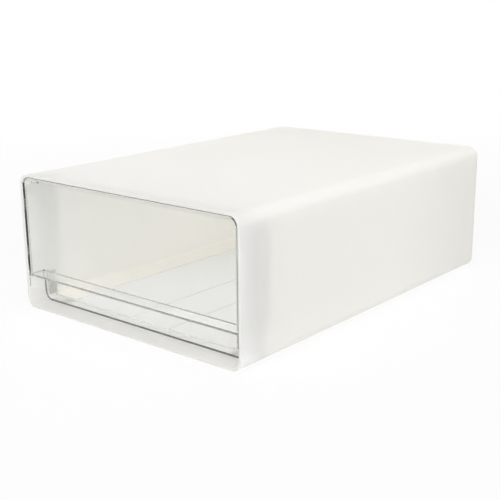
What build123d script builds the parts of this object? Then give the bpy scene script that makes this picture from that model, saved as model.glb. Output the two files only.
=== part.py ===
from build123d import *
import os

# Stackable drawer box: a white rounded case, open at the front, and a drawer that slides in it.
# The drawer is a white tray with a clear one-piece front, which steps back at the foot as a finger pull.
#
# Millimetres. X runs across, Y from the front (-Y) to the back (+Y), Z up.
# The origin is on the ground under the middle of the closed box.
# A depth is a distance behind the front plane of the case.

# ------------------------------------------------------------------ driving dimensions: case
case_width = 260.0
case_depth = 378.0
case_height = 125.5             # ground to top, standing on the pads
case_wall = 1.8
case_corner_radius = 9.5        # outside, along the four long edges
case_back_radius = 6.0          # outside, round the closed back
case_lip_radius = 0.7           # eased edges of the mouth

pad_radius = 6.0
pad_proud = 0.5                 # how far the case stands off the ground
pad_seat_depth = 0.8            # shallow seat in the base
pad_seat_clearance = 0.2
pad_edge_radius = 0.25
pad_inset_side = 24.0           # pad centre from the side of the case
pad_inset_end = 26.0            # pad centre from the front and the back

stop_ridge_gap = 1.0            # ridge under the top wall, behind the top return of the clear front
stop_ridge_thickness = 2.0
stop_ridge_drop = 4.7           # below the ceiling
stop_ridge_side_gap = 3.4       # from the end of the ridge to the side wall

# ------------------------------------------------------------------ driving dimensions: drawer
slide_travel = 300.0            # closed to fully open
stop_clearance = 0.3            # left between ridge and stop fin when fully open
rest_clearance = 0.3            # under the middle of the tray floor
closed_clearance = 0.3          # between the tray's rear lip and the back of the case

front_setback = 1.0             # clear panel behind the rim of the case
front_side_gap = 0.6            # seam round the clear front: sides and top
front_bottom_gap = 0.4
front_panel = 2.4
front_flange = 2.0              # returns at the sides and the top
front_sole = 1.6                # return at the bottom
front_edge_radius = 0.4         # eased edges of the panel
front_nose_radius = 1.4         # rounded lower edge of the ledge
front_top_return = 8.0          # length of the top return
front_side_return = 35.0        # length of the side returns, outside the tray walls
front_ledge_top = 32.5
front_ledge = 2.2
front_shoulder_z = 116.0        # the side returns stop here, behind the top return

recess_depth_top = 17.6         # finger pull, under the ledge
recess_depth_bottom = 19.4
recess_panel = 1.4
recess_corner_radius = 1.2      # inside, where the ledge meets the set-back panel
ledge_rear_radius = 1.3         # outside of that corner
cheek_front_z = 20.0            # sloping lower edge of the cheeks that close the ends of the ledge
cheek_back_z = 10.9

front_fit = 0.15                # between the clear front and the tray
tray_wall = 1.5
tray_floor = 1.5
tray_floor_depth = 30.0         # front edge of the tray floor
tray_front_gap = 0.9            # tray side walls behind the clear panel
tray_rim_z = 114.5
tray_corner_radius = 6.0        # inside, between floor and side walls
tray_back_radius = 5.0          # inside, round the rear wall
tray_margin = 26.5              # raised border of the floor, along the side and rear walls
tray_margin_step = 1.4          # down from the border to the floor
tray_strip_width = 48.0         # lowered strip along the middle of the floor
tray_strip_step = 0.8           # down from the floor to the strip
tray_strip_rear_inset = 40.0    # end of the strip, from the rear wall
lip_thickness = 1.5
lip_side_gap = 0.8
lip_rear = 3.0                  # lip behind the rear wall
lip_front_gap = 1.0             # lip behind the side returns of the clear front

stop_fin_thickness = 2.4
stop_fin_reach = 4.5            # inward from the tray wall
stop_fin_roof_gap = 2.0
stop_fin_foot = 16.0            # gusset below the rim
stop_fin_knee = 6.5

snap_depth = 27.0               # middle of the snap lugs
snap_length = 4.0
snap_height = 10.0
snap_rise = 1.4
snap_clearance = 0.3
snap_levels = (50.0, 95.0)

overrun = 5.0                   # how far cutting shapes run past what they cut

# ------------------------------------------------------------------ worked-out places
front_y = -case_depth / 2
base_z = pad_proud
inside_floor_z = base_z + case_wall
ceiling_z = case_height - case_wall
inside_half = case_width / 2 - case_wall
inside_radius = case_corner_radius - case_wall
back_wall_depth = case_depth - case_wall

front_half = inside_half - front_side_gap
front_bottom_z = inside_floor_z + front_bottom_gap
front_top_z = ceiling_z - front_side_gap
front_radius = inside_radius - front_side_gap
panel_back = front_setback + front_panel
ledge_bottom_z = front_ledge_top - front_ledge
recess_back_top = recess_depth_top + recess_panel
recess_back = recess_depth_bottom + recess_panel
side_return_end = front_setback + front_side_return
top_return_end = front_setback + front_panel + front_top_return
sole_end = tray_floor_depth - front_fit

tray_half = front_half - front_flange - front_fit
tray_inner_half = tray_half - tray_wall
corner_outer_radius = tray_corner_radius + tray_wall
strip_top_z = inside_floor_z + rest_clearance + tray_floor
floor_top_z = strip_top_z + tray_strip_step
margin_top_z = floor_top_z + tray_margin_step
tray_bottom_z = margin_top_z - tray_floor
tray_front = panel_back + tray_front_gap
tray_front_low = recess_back + tray_front_gap
lip_end = back_wall_depth - closed_clearance
tray_rear = lip_end - lip_rear
tray_inner_rear = tray_rear - tray_wall
floor_half = tray_inner_half - tray_margin
ledge_clear_z = front_ledge_top + tray_front_gap
stop_ridge_start = top_return_end + stop_ridge_gap
stop_ridge_end = stop_ridge_start + stop_ridge_thickness
stop_fin_front = stop_ridge_end + slide_travel + stop_clearance


# ------------------------------------------------------------------ helpers
def swept(face, start, end):
    """A face drawn in X and Z, swept from one depth to another."""
    plane = Plane((0, front_y + end, 0), x_dir=(1, 0, 0), z_dir=(0, -1, 0))
    return extrude(plane * face, end - start)


def rounded_section(half_width, low, high, radius):
    """A rounded rectangle in X and Z."""
    return Pos(0, (low + high) / 2) * RectangleRounded(2 * half_width, high - low, radius)


def block(half_width, start, end, low, high):
    """A box centred across, between two depths and two heights."""
    return swept(Pos(0, (low + high) / 2) * Rectangle(2 * half_width, high - low), start, end)


def side_profile(points, x_from, x_to):
    """A closed outline of (depth, height) points, swept across from one X to another."""
    outline = [(front_y + depth, height) for depth, height in points]
    plane = Plane((x_from, 0, 0), x_dir=(0, 1, 0), z_dir=(1, 0, 0))
    return extrude(plane * make_face(Polyline(*outline, close=True)), x_to - x_from)


def both_sides(shape):
    """A shape and its mirror image across the middle of the box."""
    return shape + mirror(shape, Plane.YZ)


def edges_at_depth(shape, depth):
    """The edges that lie in one plane square to Y."""
    limit = front_y + depth
    return shape.edges().filter_by_position(Axis.Y, limit - 0.01, limit + 0.01)


# ------------------------------------------------------------------ the white case
def pad_places():
    """Name and centre of each of the four pads."""
    x = case_width / 2 - pad_inset_side
    y = case_depth / 2 - pad_inset_end
    return {
        "pad_front_left": (-x, -y),
        "pad_front_right": (x, -y),
        "pad_rear_left": (-x, y),
        "pad_rear_right": (x, y),
    }


def make_case():
    """One moulding: a rounded tube with a closed back, a stop ridge and four pad seats."""
    outer = swept(rounded_section(case_width / 2, base_z, case_height, case_corner_radius), 0, case_depth)
    outer = fillet(edges_at_depth(outer, case_depth), case_back_radius)
    hollow = swept(rounded_section(inside_half, inside_floor_z, ceiling_z, inside_radius), 0, back_wall_depth)
    hollow = fillet(edges_at_depth(hollow, back_wall_depth), case_back_radius - case_wall)
    case = outer - hollow
    case = fillet(edges_at_depth(case, 0), min(case_lip_radius, 0.4 * case_wall))
    ridge_half = inside_half - stop_ridge_side_gap
    ridge_low = ceiling_z - stop_ridge_drop
    case += block(ridge_half, stop_ridge_start, stop_ridge_end, ridge_low, ceiling_z + case_wall / 2)
    seat = Cylinder(pad_radius + pad_seat_clearance, pad_seat_depth, align=(Align.CENTER, Align.CENTER, Align.MIN))
    for x, y in pad_places().values():
        case -= Pos(x, y, base_z) * seat
    return case


def make_pad(x, y):
    """A round non-slip pad, seated in the base of the case."""
    thickness = pad_proud + pad_seat_depth
    pad = Cylinder(pad_radius, thickness, align=(Align.CENTER, Align.CENTER, Align.MIN))
    pad = fillet(pad.edges().group_by(Axis.Z)[0], pad_edge_radius)
    return Pos(x, y, 0) * pad


# ------------------------------------------------------------------ the clear front
def snap_windows():
    """Windows through the side returns, one for each snap lug."""
    reach = snap_length / 2 + snap_clearance
    half_height = snap_height / 2 + snap_clearance
    windows = []
    for level in snap_levels:
        low = level - half_height
        high = level + half_height
        outline = [
            (snap_depth - reach, low), (snap_depth + reach, low),
            (snap_depth + reach, high), (snap_depth - reach, high)]
        window = side_profile(outline, tray_half - tray_wall / 2, front_half + overrun)
        windows.append(both_sides(window))
    return windows


def make_front():
    """Clear cap: panel, ledge, set-back lower panel, cheeks, and returns that hold the tray."""
    section = rounded_section(front_half, front_bottom_z, front_top_z, front_radius)
    inner_section = rounded_section(
        front_half - front_flange, front_bottom_z + front_sole, front_top_z - front_flange,
        front_radius - front_flange)
    cap = swept(section, front_setback, side_return_end)

    finger_pull = side_profile(
        [(-overrun, -overrun), (-overrun, ledge_bottom_z),
         (recess_depth_top, ledge_bottom_z), (recess_depth_bottom, front_bottom_z),
         (recess_depth_bottom, -overrun)],
        -case_width / 2, case_width / 2)
    inner_corner = finger_pull.edges().filter_by(Axis.X).filter_by_position(
        Axis.Z, ledge_bottom_z - 0.01, ledge_bottom_z + 0.01).sort_by(Axis.Y)[-1]
    finger_pull = fillet(inner_corner, recess_corner_radius)
    cap -= finger_pull

    ledge_and_foot = side_profile(
        [(0, -overrun), (0, front_ledge_top), (recess_back_top, front_ledge_top),
         (recess_back, front_bottom_z), (recess_back, -overrun)],
        -case_width / 2, case_width / 2)
    rear_edge = ledge_and_foot.edges().filter_by(Axis.X).filter_by_position(
        Axis.Z, front_ledge_top - 0.01, front_ledge_top + 0.01).sort_by(Axis.Y)[-1]
    behind_panel = swept(inner_section, panel_back, side_return_end)
    behind_panel -= fillet(rear_edge, ledge_rear_radius)
    cap -= behind_panel

    cheek = side_profile(
        [(front_setback, cheek_front_z), (recess_depth_bottom, cheek_back_z),
         (recess_depth_bottom, ledge_bottom_z + front_ledge / 2),
         (front_setback, ledge_bottom_z + front_ledge / 2)],
        front_half - front_flange, front_half)
    cap += both_sides(cheek)

    # the returns end at three depths: sole, sides and top
    cap -= block(case_width, sole_end, side_return_end + overrun, -overrun, ledge_clear_z)
    cap -= block(case_width, top_return_end, side_return_end + overrun, front_shoulder_z, case_height)
    for window in snap_windows():
        cap -= window

    # the ledge has a rounded lower edge; the outline of the panel is eased
    nose = edges_at_depth(cap, front_setback).filter_by_position(
        Axis.Z, ledge_bottom_z - 0.01, ledge_bottom_z + 0.01)
    cap = fillet(nose, front_nose_radius)
    flange_inside = front_half - front_flange
    outline = [edge for edge in edges_at_depth(cap, front_setback)
               if abs(edge.center().X) > flange_inside + 0.01 or edge.center().Z > front_shoulder_z]
    return fillet(outline, front_edge_radius)


# ------------------------------------------------------------------ the white tray
def floor_level(half_width, rear, top):
    """Room above one level of the floor, and the solid below it, one floor thickness deep."""
    room = block(half_width, 0, rear, top, margin_top_z + overrun)
    below = block(half_width + tray_floor, 0, rear + tray_floor, top - tray_floor, margin_top_z)
    return room, below


def snap_lugs():
    """Wedges on the side walls: a ramp at the front lets the clear front slide on, the steep back holds it."""
    ramp_start = front_y + snap_depth - snap_length / 2
    ramp_end = front_y + snap_depth + snap_length / 2
    root = tray_half - tray_wall / 2
    outline = Polyline(
        (root, ramp_start), (tray_half, ramp_start), (tray_half + snap_rise, ramp_end), (root, ramp_end),
        close=True)
    wedge = extrude(make_face(outline), snap_height)
    return [both_sides(Pos(0, 0, level - snap_height / 2) * wedge) for level in snap_levels]


def make_tray():
    """Open box with a stepped floor, a rear lip, snap lugs and stop fins."""
    above = tray_rim_z + 4 * overrun
    outer = swept(rounded_section(tray_half, tray_bottom_z, above, corner_outer_radius), 0, tray_rear)
    outer = fillet(edges_at_depth(outer, tray_rear), tray_back_radius + tray_wall)
    room = swept(rounded_section(tray_inner_half, margin_top_z, above, tray_corner_radius), 0, tray_inner_rear)
    room = fillet(edges_at_depth(room, tray_inner_rear), tray_back_radius)

    wide_room, wide_below = floor_level(floor_half, tray_inner_rear - tray_margin, floor_top_z)
    strip_room, strip_below = floor_level(
        tray_strip_width / 2, tray_inner_rear - tray_strip_rear_inset, strip_top_z)
    room = room + wide_room + strip_room

    lip_half = inside_half - lip_side_gap
    lip_start = side_return_end + lip_front_gap
    lip_low = tray_rim_z - lip_thickness
    lip = block(lip_half, lip_start, lip_end, lip_low, tray_rim_z)
    lip_radius = tray_back_radius + tray_wall + lip_rear
    lip = fillet(lip.edges().filter_by(Axis.Z).group_by(Axis.Y)[-1], lip_radius)

    tray = outer + wide_below + strip_below + lip
    tray -= room
    tray -= block(case_width, -overrun, case_depth, tray_rim_z, above + overrun)

    # the side walls reach to the clear front, above and below its ledge; the floor ends further back
    tray -= side_profile(
        [(-overrun, -overrun), (tray_front_low, -overrun), (tray_front_low, ledge_clear_z),
         (tray_front, ledge_clear_z), (tray_front, above), (-overrun, above)],
        -case_width / 2, case_width / 2)
    tray -= block(tray_inner_half, 0, tray_floor_depth, -overrun, ledge_clear_z)

    for lug in snap_lugs():
        tray += lug
    fin_top = ceiling_z - stop_fin_roof_gap
    fin_inner = tray_inner_half - stop_fin_reach
    fin_root = tray_inner_half + tray_wall / 2
    fin = Polyline(
        (fin_root, tray_rim_z - stop_fin_foot), (fin_root, tray_rim_z - lip_thickness / 2),
        (tray_inner_half, tray_rim_z), (tray_inner_half, fin_top), (fin_inner, fin_top),
        (fin_inner, tray_rim_z - stop_fin_knee), close=True)
    tray += both_sides(swept(make_face(fin), stop_fin_front, stop_fin_front + stop_fin_thickness))
    return tray


# ------------------------------------------------------------------ write one file for each piece
pieces = {
    "outer_case": make_case(),
    "drawer_tray": make_tray(),
    "drawer_front": make_front(),
}
for name, (pad_x, pad_y) in pad_places().items():
    pieces[name] = make_pad(pad_x, pad_y)

os.makedirs("parts", exist_ok=True)
for name, piece in pieces.items():
    export_step(piece, "parts/" + name + ".step")
    size = piece.bounding_box().size
    print(name, len(piece.solids()), "solid", round(piece.volume / 1000, 1), "cm3", size)
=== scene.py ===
"""Stackable drawer box: a white rounded case with a clear-fronted white drawer, on a plain pale floor."""
import math

import bpy
from mathutils import Matrix, Vector


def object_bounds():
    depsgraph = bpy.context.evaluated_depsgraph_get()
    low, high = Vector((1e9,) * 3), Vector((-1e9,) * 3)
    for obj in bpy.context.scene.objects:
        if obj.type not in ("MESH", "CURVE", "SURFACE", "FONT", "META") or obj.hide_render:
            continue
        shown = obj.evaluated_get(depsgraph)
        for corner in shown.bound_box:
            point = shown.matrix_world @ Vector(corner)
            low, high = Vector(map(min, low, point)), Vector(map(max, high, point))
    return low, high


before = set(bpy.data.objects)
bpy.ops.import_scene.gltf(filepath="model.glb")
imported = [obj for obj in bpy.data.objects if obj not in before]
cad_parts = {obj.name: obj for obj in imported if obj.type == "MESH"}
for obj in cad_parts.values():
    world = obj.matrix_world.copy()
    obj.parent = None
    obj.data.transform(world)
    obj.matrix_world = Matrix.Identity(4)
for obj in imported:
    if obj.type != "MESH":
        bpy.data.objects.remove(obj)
bpy.context.view_layer.update()
cad_low, cad_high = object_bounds()

scene = bpy.context.scene
scene.view_settings.view_transform = "Standard"
scene.cycles.max_bounces = 32
scene.cycles.diffuse_bounces = 20
scene.cycles.glossy_bounces = 8
scene.cycles.transmission_bounces = 24

# ------------------------------------------------------------------ colours
WHITE = (1.0, 1.0, 1.0)
CASE_COLOUR = (0.968, 0.964, 0.951)
CASE_SHADE = (0.962, 0.958, 0.944)
AROUND_PAINTED_LIGHT = (0.990, 0.987, 0.977)    # painted light: the side walls beside the clear front, made lighter
REAR_PAINTED_SHADE = (0.925, 0.921, 0.906)      # painted shade: the side walls darker towards the rear
APRON_PAINTED_SHADE = (0.89, 0.885, 0.870)      # painted shade: base of the case at the finger pull, darker
RIM_PAINTED_SHADE = (0.86, 0.856, 0.842)        # painted shade: the front-facing edge of the mouth, darker
TRAY_COLOUR = (0.945, 0.944, 0.934)
TRAY_SHADE = (0.940, 0.939, 0.928)
DEEP_PAINTED_LIGHT = (0.975, 0.972, 0.958)      # painted light: walls of the tray lighter towards the rear
# painted light: the tray's floor cooler in tone than its walls, as the light falls on it
FLOOR_PAINTED_LIGHT_TONE = (0.935, 0.940, 0.945)
MARGIN_PAINTED_LIGHT = (0.972, 0.962, 0.935)    # painted light: the raised border of the tray's floor, lighter and warmer
STEP_COLOUR = (0.60, 0.60, 0.59)         # shaded line at the right edge of the floor's strip
END_PAINTED_SHADE = (0.70, 0.70, 0.68)          # painted shade: front ends of the tray, darker
CLEAR_COLOUR = (0.985, 0.988, 0.985)
EDGE_PAINTED_DARK = (0.05, 0.06, 0.06)           # painted dark lines, standing in for dark refraction and gap shade, on the borders of the clear front that are seen along their length
# painted shade: grey bands on the clear front at the ledge and at its top edge
LEDGE_PAINTED_SHADE = (0.58, 0.60, 0.59)
TOP_PAINTED_SHADE = (0.80, 0.81, 0.81)
LAMP_THROUGH = (0.98, 0.982, 0.98)       # lamp light that passes the clear front
PAD_COLOUR = (0.62, 0.62, 0.60)
PAD_SHADE = (0.58, 0.58, 0.56)
GROUND_COLOUR = (0.96, 0.96, 0.96)

# ------------------------------------------------------------------ surfaces
WHITE_IOR = 1.49
CLEAR_IOR = 1.57
CLOUD_RANGE = (0.3, 0.7)       # part of the noise that cloudiness and gloss follow
GLOSS_SPREAD = 0.04
GRAIN_DEPTH = 0.00005
WAVE_SCALE = 14.0              # the clear front's faint waves
WAVE_STRENGTH = 0.05
WAVE_DEPTH = 0.0004
MATT_ROUGHNESS = 0.7

# ------------------------------------------------------------------ places on the box, in metres
# A pair of places is where a zone fades in or out, or its two ends.
FRONT = cad_low[1]
REAR = cad_high[1]
SIDE = cad_high[0]
SOFT = 0.0002                  # width of a zone's edge, unless a pair gives it

SIDE_FACE = SIDE - 0.0012      # the case's outside lies further across
AROUND_END = (FRONT + 0.027, FRONT + 0.047)
REAR_START = (0.04, REAR)
APRON_END = (FRONT + 0.017, FRONT + 0.021)
APRON_RIGHT = (0.06, 0.12)
APRON_LEVELS = (0.001, 0.030)
RIM_END = (FRONT + 0.0003, FRONT + 0.0006)

DEEP_START = (-0.12, 0.02)
DEEP_BOTTOM = (0.0110, 0.0115)
FLOOR_TOP = (0.0066, 0.0076)
MARGIN_TOP = (0.0075, 0.0110)
MARGIN_EDGE = 0.0974           # from the middle to the margin's inner edge
STEP_ACROSS = (0.0239, 0.0249)
WALL_END = (FRONT + 0.0044, FRONT + 0.0045)
FLOOR_END = (FRONT + 0.0301, FRONT + 0.0302)
FLOOR_END_TOP = (0.030, 0.031)

FACE_DEPTH = FRONT + 0.0027    # the clear front's outer face lies in front of this
CORNER_ACROSS = 0.1205         # centres of the clear front's rounded corners
CORNER_FOOT = 0.0098
CORNER_TOP = 0.1160
FOOT_DEPTHS = (FRONT + 0.0178, FRONT + 0.0198)
FOOT_RADIUS = 0.0052
LEFT_ACROSS = (-0.1271, -0.1239)
LEFT_LEVELS = (0.0325, 0.1125)
ARC_ACROSS = 0.1222            # the dark arc at the upper right corner starts here
ARC_LEVEL = 0.1168
ARC_RADIUS = 0.0054
LEDGE_LEVELS = (0.0302, 0.0327)
TOP_START = (0.1190, 0.1216)
TOP_END = (0.1222, 0.1226)
MATT_ACROSS = 0.1258
MATT_LEVELS = (0.034, 0.116)

# ------------------------------------------------------------------ floor, light and camera
FLOOR_SIZE = 9.0
FLOOR_SHADOW = 0.12            # share of the floor's own shading that the camera sees, near the box
SHADOW_REACH = (0.35, 1.1)     # that share fades out between these distances from the middle

WORLD_LIGHT = 0.10
LAMP_SIZE = 1.6
LAMP_DISTANCE = 2.6
LAMP_TARGET = Vector((0.0, 0.0, 0.06))
LAMPS = (                      # name, azimuth and elevation in degrees, level
    ("front", -2, 20, 0.36),
    ("right", 78, 20, 0.335),
    ("left", -100, 20, 0.26),
    ("overhead", 60, 75, 0.50),
)

CAMERA_PLACE = (0.57386, -0.70190, 0.28837)
CAMERA_AZIMUTH = 40.180
CAMERA_ELEVATION = 15.588
CAMERA_ROLL = -0.570
CAMERA_LENS = 68.84
SENSOR_WIDTH = 36.0
CLIP_NEAR = 0.01
CLIP_FAR = 50.0


# ------------------------------------------------------------------ shader helpers
class Graph:
    """Short names for building one node tree."""

    def __init__(self, owner):
        owner.use_nodes = True
        self.tree = owner.node_tree
        self.tree.nodes.clear()

    def node(self, kind, inputs=None, **settings):
        """A node with its settings, and with inputs linked to outputs or set to numbers or colours."""
        made = self.tree.nodes.new(kind)
        for name, value in settings.items():
            setattr(made, name, value)
        for name, value in (inputs or {}).items():
            self.feed(made.inputs[name], value)
        return made

    def feed(self, socket, value):
        if hasattr(value, "is_linked"):
            self.tree.links.new(value, socket)
        elif isinstance(value, tuple):
            socket.default_value = (*value, 1.0)
        else:
            socket.default_value = value

    def place(self):
        return self.node("ShaderNodeTexCoord").outputs["Object"]

    def split(self, vector):
        return self.node("ShaderNodeSeparateXYZ", {0: vector}).outputs

    def noise(self, place, scale, detail=2.0, roughness=0.5):
        inputs = {"Vector": place, "Scale": scale, "Detail": detail, "Roughness": roughness}
        return self.node("ShaderNodeTexNoise", inputs).outputs["Fac"]

    def bump(self, height, strength, depth):
        inputs = {"Strength": strength, "Distance": depth, "Height": height}
        return self.node("ShaderNodeBump", inputs).outputs["Normal"]

    def ranged(self, value, low, high, to_low, to_high):
        inputs = {"Value": value, "From Min": low, "From Max": high, "To Min": to_low, "To Max": to_high}
        return self.node("ShaderNodeMapRange", inputs).outputs["Result"]

    def maths(self, operation, *values):
        return self.node("ShaderNodeMath", dict(enumerate(values)), operation=operation).outputs["Value"]

    def product(self, first, *others):
        for other in others:
            first = self.maths("MULTIPLY", first, other)
        return first

    def rising(self, value, start, end):
        """0 up to one place, 1 from another on."""
        return self.ranged(value, start, end, 0.0, 1.0)

    def falling(self, value, start, end):
        """1 up to one place, 0 from another on."""
        return self.ranged(value, start, end, 1.0, 0.0)

    def above(self, value, edge):
        return self.rising(value, edge, edge + SOFT)

    def below(self, value, edge):
        return self.falling(value, edge - SOFT, edge)

    def between(self, value, low, high):
        return self.product(self.above(value, low), self.below(value, high))

    def beyond_corner(self, across, up):
        """Distance from the centre of a rounded corner, to the outside of it."""
        squares = [self.maths("POWER", self.maths("MAXIMUM", side, 0.0), 2.0) for side in (across, up)]
        return self.maths("SQRT", self.maths("ADD", *squares))

    def mixed_colour(self, factor, first, second):
        made = self.node("ShaderNodeMix", {"Factor": factor}, data_type="RGBA")
        sockets = {socket.identifier: socket for socket in (*made.inputs, *made.outputs)}
        self.feed(sockets["A_Color"], first)
        self.feed(sockets["B_Color"], second)
        return sockets["Result_Color"]

    def painted(self, colour, *zones):
        """A colour with the colours of zones laid over it in turn."""
        for share, zone_colour in zones:
            colour = self.mixed_colour(share, colour, zone_colour)
        return colour

    def mixed_shader(self, factor, first, second):
        return self.node("ShaderNodeMixShader", {0: factor, 1: first, 2: second}).outputs["Shader"]

    def surface(self, shader, kind="ShaderNodeOutputMaterial"):
        self.node(kind, {"Surface": shader})

    def seen_directly(self):
        """1 for camera, glossy and transmission rays, 0 for those that carry light between surfaces."""
        path = self.node("ShaderNodeLightPath").outputs
        seen = self.maths("MAXIMUM", path["Is Camera Ray"], path["Is Glossy Ray"])
        return self.maths("MAXIMUM", seen, path["Is Transmission Ray"])


# ------------------------------------------------------------------ zones
def case_zones(graph, place, colour):
    """Painted light and shade on the case: the side walls lighter beside the clear front and darker at the
    rear, and the apron at the finger pull and the rim darker.
    """
    x, y, z = graph.split(place)
    outside = graph.above(graph.maths("ABSOLUTE", x), SIDE_FACE)
    around = graph.product(outside, graph.falling(y, *AROUND_END))
    rear = graph.product(outside, graph.rising(y, *REAR_START))
    apron = graph.product(
        graph.falling(x, *APRON_RIGHT), graph.maths("SUBTRACT", 1.0, outside), graph.falling(y, *APRON_END),
        graph.between(z, *APRON_LEVELS))
    rim = graph.falling(y, *RIM_END)
    return graph.painted(
        colour, (around, AROUND_PAINTED_LIGHT), (rear, REAR_PAINTED_SHADE), (apron, APRON_PAINTED_SHADE), (rim, RIM_PAINTED_SHADE))


def tray_zones(graph, place, colour):
    """Painted light and shade on the tray: its walls lighter towards the rear, its floor cooler and its
    raised margin lighter and warmer as the light falls, the shaded step of its strip, and its front ends
    darker.
    """
    x, y, z = graph.split(place)
    aside = graph.maths("ABSOLUTE", x)
    deep = graph.product(graph.rising(y, *DEEP_START), graph.rising(z, *DEEP_BOTTOM))
    low = graph.falling(z, *FLOOR_TOP)
    floor = graph.product(low, graph.below(aside, MARGIN_EDGE))
    margin = graph.product(graph.falling(z, *MARGIN_TOP), graph.above(aside, MARGIN_EDGE))
    step = graph.product(low, graph.between(x, *STEP_ACROSS))
    left_wall_end = graph.product(graph.falling(y, *WALL_END), graph.below(x, 0.0))
    low_end = graph.product(graph.falling(y, *FLOOR_END), graph.falling(z, *FLOOR_END_TOP))
    ends = graph.maths("MAXIMUM", left_wall_end, low_end)
    return graph.painted(
        colour, (deep, DEEP_PAINTED_LIGHT), (floor, FLOOR_PAINTED_LIGHT_TONE), (margin, MARGIN_PAINTED_LIGHT), (step, STEP_COLOUR),
        (ends, END_PAINTED_SHADE))


def front_zones(graph, place, colour):
    """The clear front's borders that are seen along their length: the colour with painted dark lines and
    painted grey shade bands, and how matt it is.
    """
    x, y, z = graph.split(place)
    aside = graph.maths("SUBTRACT", graph.maths("ABSOLUTE", x), CORNER_ACROSS)
    face = graph.below(y, FACE_DEPTH)
    foot = graph.product(
        graph.above(graph.beyond_corner(aside, graph.maths("SUBTRACT", CORNER_FOOT, z)), FOOT_RADIUS),
        graph.between(y, *FOOT_DEPTHS))
    left = graph.product(face, graph.between(x, *LEFT_ACROSS), graph.between(z, *LEFT_LEVELS))
    arc = graph.product(
        face, graph.above(x, ARC_ACROSS), graph.above(z, ARC_LEVEL),
        graph.above(graph.beyond_corner(aside, graph.maths("SUBTRACT", z, CORNER_TOP)), ARC_RADIUS))
    dark = graph.maths("MAXIMUM", foot, graph.maths("MAXIMUM", left, arc))
    ledge = graph.product(face, graph.between(z, *LEDGE_LEVELS))
    top = graph.product(face, graph.rising(z, *TOP_START), graph.falling(z, *TOP_END))
    matt = graph.product(face, graph.above(x, MATT_ACROSS), graph.between(z, *MATT_LEVELS))
    return graph.painted(colour, (top, TOP_PAINTED_SHADE), (ledge, LEDGE_PAINTED_SHADE), (dark, EDGE_PAINTED_DARK)), matt


# ------------------------------------------------------------------ materials
def moulded_plastic(name, colour, shade, roughness, grain, grain_scale, flow_scale, through=0.0, zones=None):
    """Moulded plastic: faintly cloudy and grained, slightly uneven in gloss, and it may let light through."""
    material = bpy.data.materials.new(name)
    graph = Graph(material)
    place = graph.place()
    tint = graph.mixed_colour(graph.rising(graph.noise(place, flow_scale, 3.0), *CLOUD_RANGE), colour, shade)
    # zones paint light and shade into the colour, where the light falls unevenly
    if zones:
        tint = zones(graph, place, tint)
    gloss = graph.ranged(
        graph.noise(place, flow_scale * 3), *CLOUD_RANGE, roughness - GLOSS_SPREAD, roughness + GLOSS_SPREAD)
    normal = graph.bump(graph.noise(place, grain_scale, roughness=0.6), grain, GRAIN_DEPTH)
    skin = graph.node("ShaderNodeBsdfPrincipled", {
        "Base Color": tint, "Roughness": gloss, "IOR": WHITE_IOR, "Normal": normal})
    passed = graph.node("ShaderNodeBsdfTranslucent", {"Color": tint, "Normal": normal})
    graph.surface(graph.mixed_shader(through, skin.outputs["BSDF"], passed.outputs["BSDF"]))
    return material


def clear_plastic(name, colour):
    """Polished clear styrene that refracts through its real thickness and casts no dark shadow."""
    material = bpy.data.materials.new(name)
    graph = Graph(material)
    place = graph.place()
    # the tint carries painted dark lines and painted grey shade bands along the clear front's borders
    tint, matt = front_zones(graph, place, colour)
    clear = graph.node("ShaderNodeBsdfPrincipled", {
        "Base Color": tint, "Roughness": graph.maths("MULTIPLY", matt, MATT_ROUGHNESS), "IOR": CLEAR_IOR,
        "Transmission Weight": 1.0,
        "Normal": graph.bump(graph.noise(place, WAVE_SCALE, 1.0), WAVE_STRENGTH, WAVE_DEPTH)})
    lamp_light = graph.node("ShaderNodeBsdfTransparent", {"Color": LAMP_THROUGH})
    shadow_ray = graph.node("ShaderNodeLightPath").outputs["Is Shadow Ray"]
    graph.surface(graph.mixed_shader(shadow_ray, clear.outputs["BSDF"], lamp_light.outputs["BSDF"]))
    return material


def dress(node, material):
    """Gives a CAD node its material."""
    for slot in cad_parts[node].material_slots:
        slot.material = material


def dress_box():
    dress("outer_case", moulded_plastic(
        "case_white", CASE_COLOUR, CASE_SHADE, roughness=0.42, grain=0.35, grain_scale=1400.0,
        flow_scale=9.0, through=0.48, zones=case_zones))
    dress("drawer_tray", moulded_plastic(
        "tray_white", TRAY_COLOUR, TRAY_SHADE, roughness=0.36, grain=0.20, grain_scale=1800.0,
        flow_scale=11.0, through=0.45, zones=tray_zones))
    dress("drawer_front", clear_plastic("clear_plastic", CLEAR_COLOUR))
    rubber = moulded_plastic(
        "pad_rubber", PAD_COLOUR, PAD_SHADE, roughness=0.55, grain=0.4, grain_scale=1600.0, flow_scale=60.0)
    for pad in ("pad_front_left", "pad_front_right", "pad_rear_left", "pad_rear_right"):
        dress(pad, rubber)


# ------------------------------------------------------------------ floor and surroundings
def make_floor():
    """A plain floor that looks white, with a faint shadow near the box."""
    half = FLOOR_SIZE / 2
    mesh = bpy.data.meshes.new("floor")
    corners = [(-half, -half, 0), (half, -half, 0), (half, half, 0), (-half, half, 0)]
    mesh.from_pydata(corners, [], [(0, 1, 2, 3)])
    floor = bpy.data.objects.new("floor", mesh)
    scene.collection.objects.link(floor)
    material = bpy.data.materials.new("floor")
    graph = Graph(material)
    matte = graph.node("ShaderNodeBsdfDiffuse", {"Color": GROUND_COLOUR})
    white = graph.node("ShaderNodeEmission", {"Color": WHITE, "Strength": 1.0})
    away = graph.node("ShaderNodeVectorMath", {0: graph.place()}, operation="LENGTH").outputs["Value"]
    whiteness = graph.ranged(away, *SHADOW_REACH, 1.0 - FLOOR_SHADOW, 1.0)
    share = graph.product(graph.seen_directly(), whiteness)
    graph.surface(graph.mixed_shader(share, matte.outputs["BSDF"], white.outputs["Emission"]))
    mesh.materials.append(material)


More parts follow.
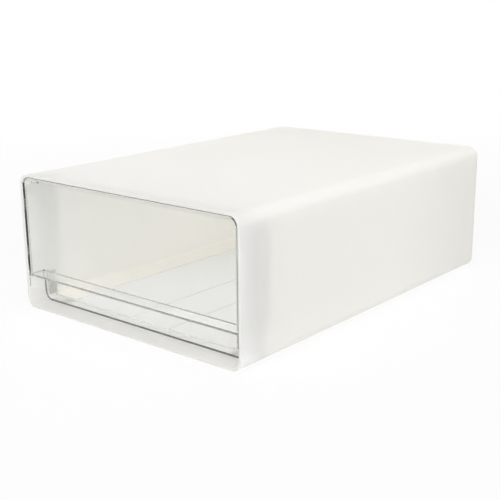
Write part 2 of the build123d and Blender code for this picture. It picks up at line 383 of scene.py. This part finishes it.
def make_world():
    """White where it is seen, and a low even light on the surfaces."""
    scene.world = bpy.data.worlds.new("studio")
    graph = Graph(scene.world)
    light, backdrop = (
        graph.node("ShaderNodeBackground", {"Color": WHITE, "Strength": strength}).outputs["Background"]
        for strength in (WORLD_LIGHT, 1.0))
    graph.surface(graph.mixed_shader(graph.seen_directly(), light, backdrop), "ShaderNodeOutputWorld")


def direction(azimuth, elevation):
    """Unit vector towards a place, from degrees: azimuth 0 is the front, 90 the right."""
    azimuth, elevation = math.radians(azimuth), math.radians(elevation)
    level = math.cos(elevation)
    return Vector((math.sin(azimuth) * level, -math.cos(azimuth) * level, math.sin(elevation)))


def soft_light(name, azimuth, elevation, level):
    """A square soft box that faces the object; level is what it adds to a surface facing it, 1 is white."""
    towards = direction(azimuth, elevation)
    data = bpy.data.lights.new(name, "AREA")
    data.shape = "SQUARE"
    data.size = LAMP_SIZE
    data.energy = level * math.pi ** 2 * LAMP_DISTANCE ** 2
    lamp = bpy.data.objects.new(name, data)
    lamp.visible_camera = False
    lamp.location = towards * LAMP_DISTANCE + LAMP_TARGET
    lamp.rotation_mode = "QUATERNION"
    lamp.rotation_quaternion = towards.to_track_quat("Z", "Y")
    scene.collection.objects.link(lamp)


def make_camera():
    data = bpy.data.cameras.new("camera")
    data.sensor_fit = "HORIZONTAL"
    data.sensor_width = SENSOR_WIDTH
    data.lens = CAMERA_LENS
    data.clip_start = CLIP_NEAR
    data.clip_end = CLIP_FAR
    back = direction(CAMERA_AZIMUTH, CAMERA_ELEVATION)
    right = Vector((0, 0, 1)).cross(back).normalized()
    up = back.cross(right)
    roll = math.radians(CAMERA_ROLL)
    turned_right = right * math.cos(roll) + up * math.sin(roll)
    turned_up = up * math.cos(roll) - right * math.sin(roll)
    axes = Matrix((turned_right, turned_up, back)).transposed().to_4x4()
    camera = bpy.data.objects.new("camera", data)
    camera.matrix_world = Matrix.Translation(CAMERA_PLACE) @ axes
    scene.collection.objects.link(camera)
    scene.camera = camera


dress_box()
make_floor()
make_world()
for lamp_values in LAMPS:
    soft_light(*lamp_values)
make_camera()

# ------------------------------------------------------------------ view layer update
bpy.context.view_layer.update()
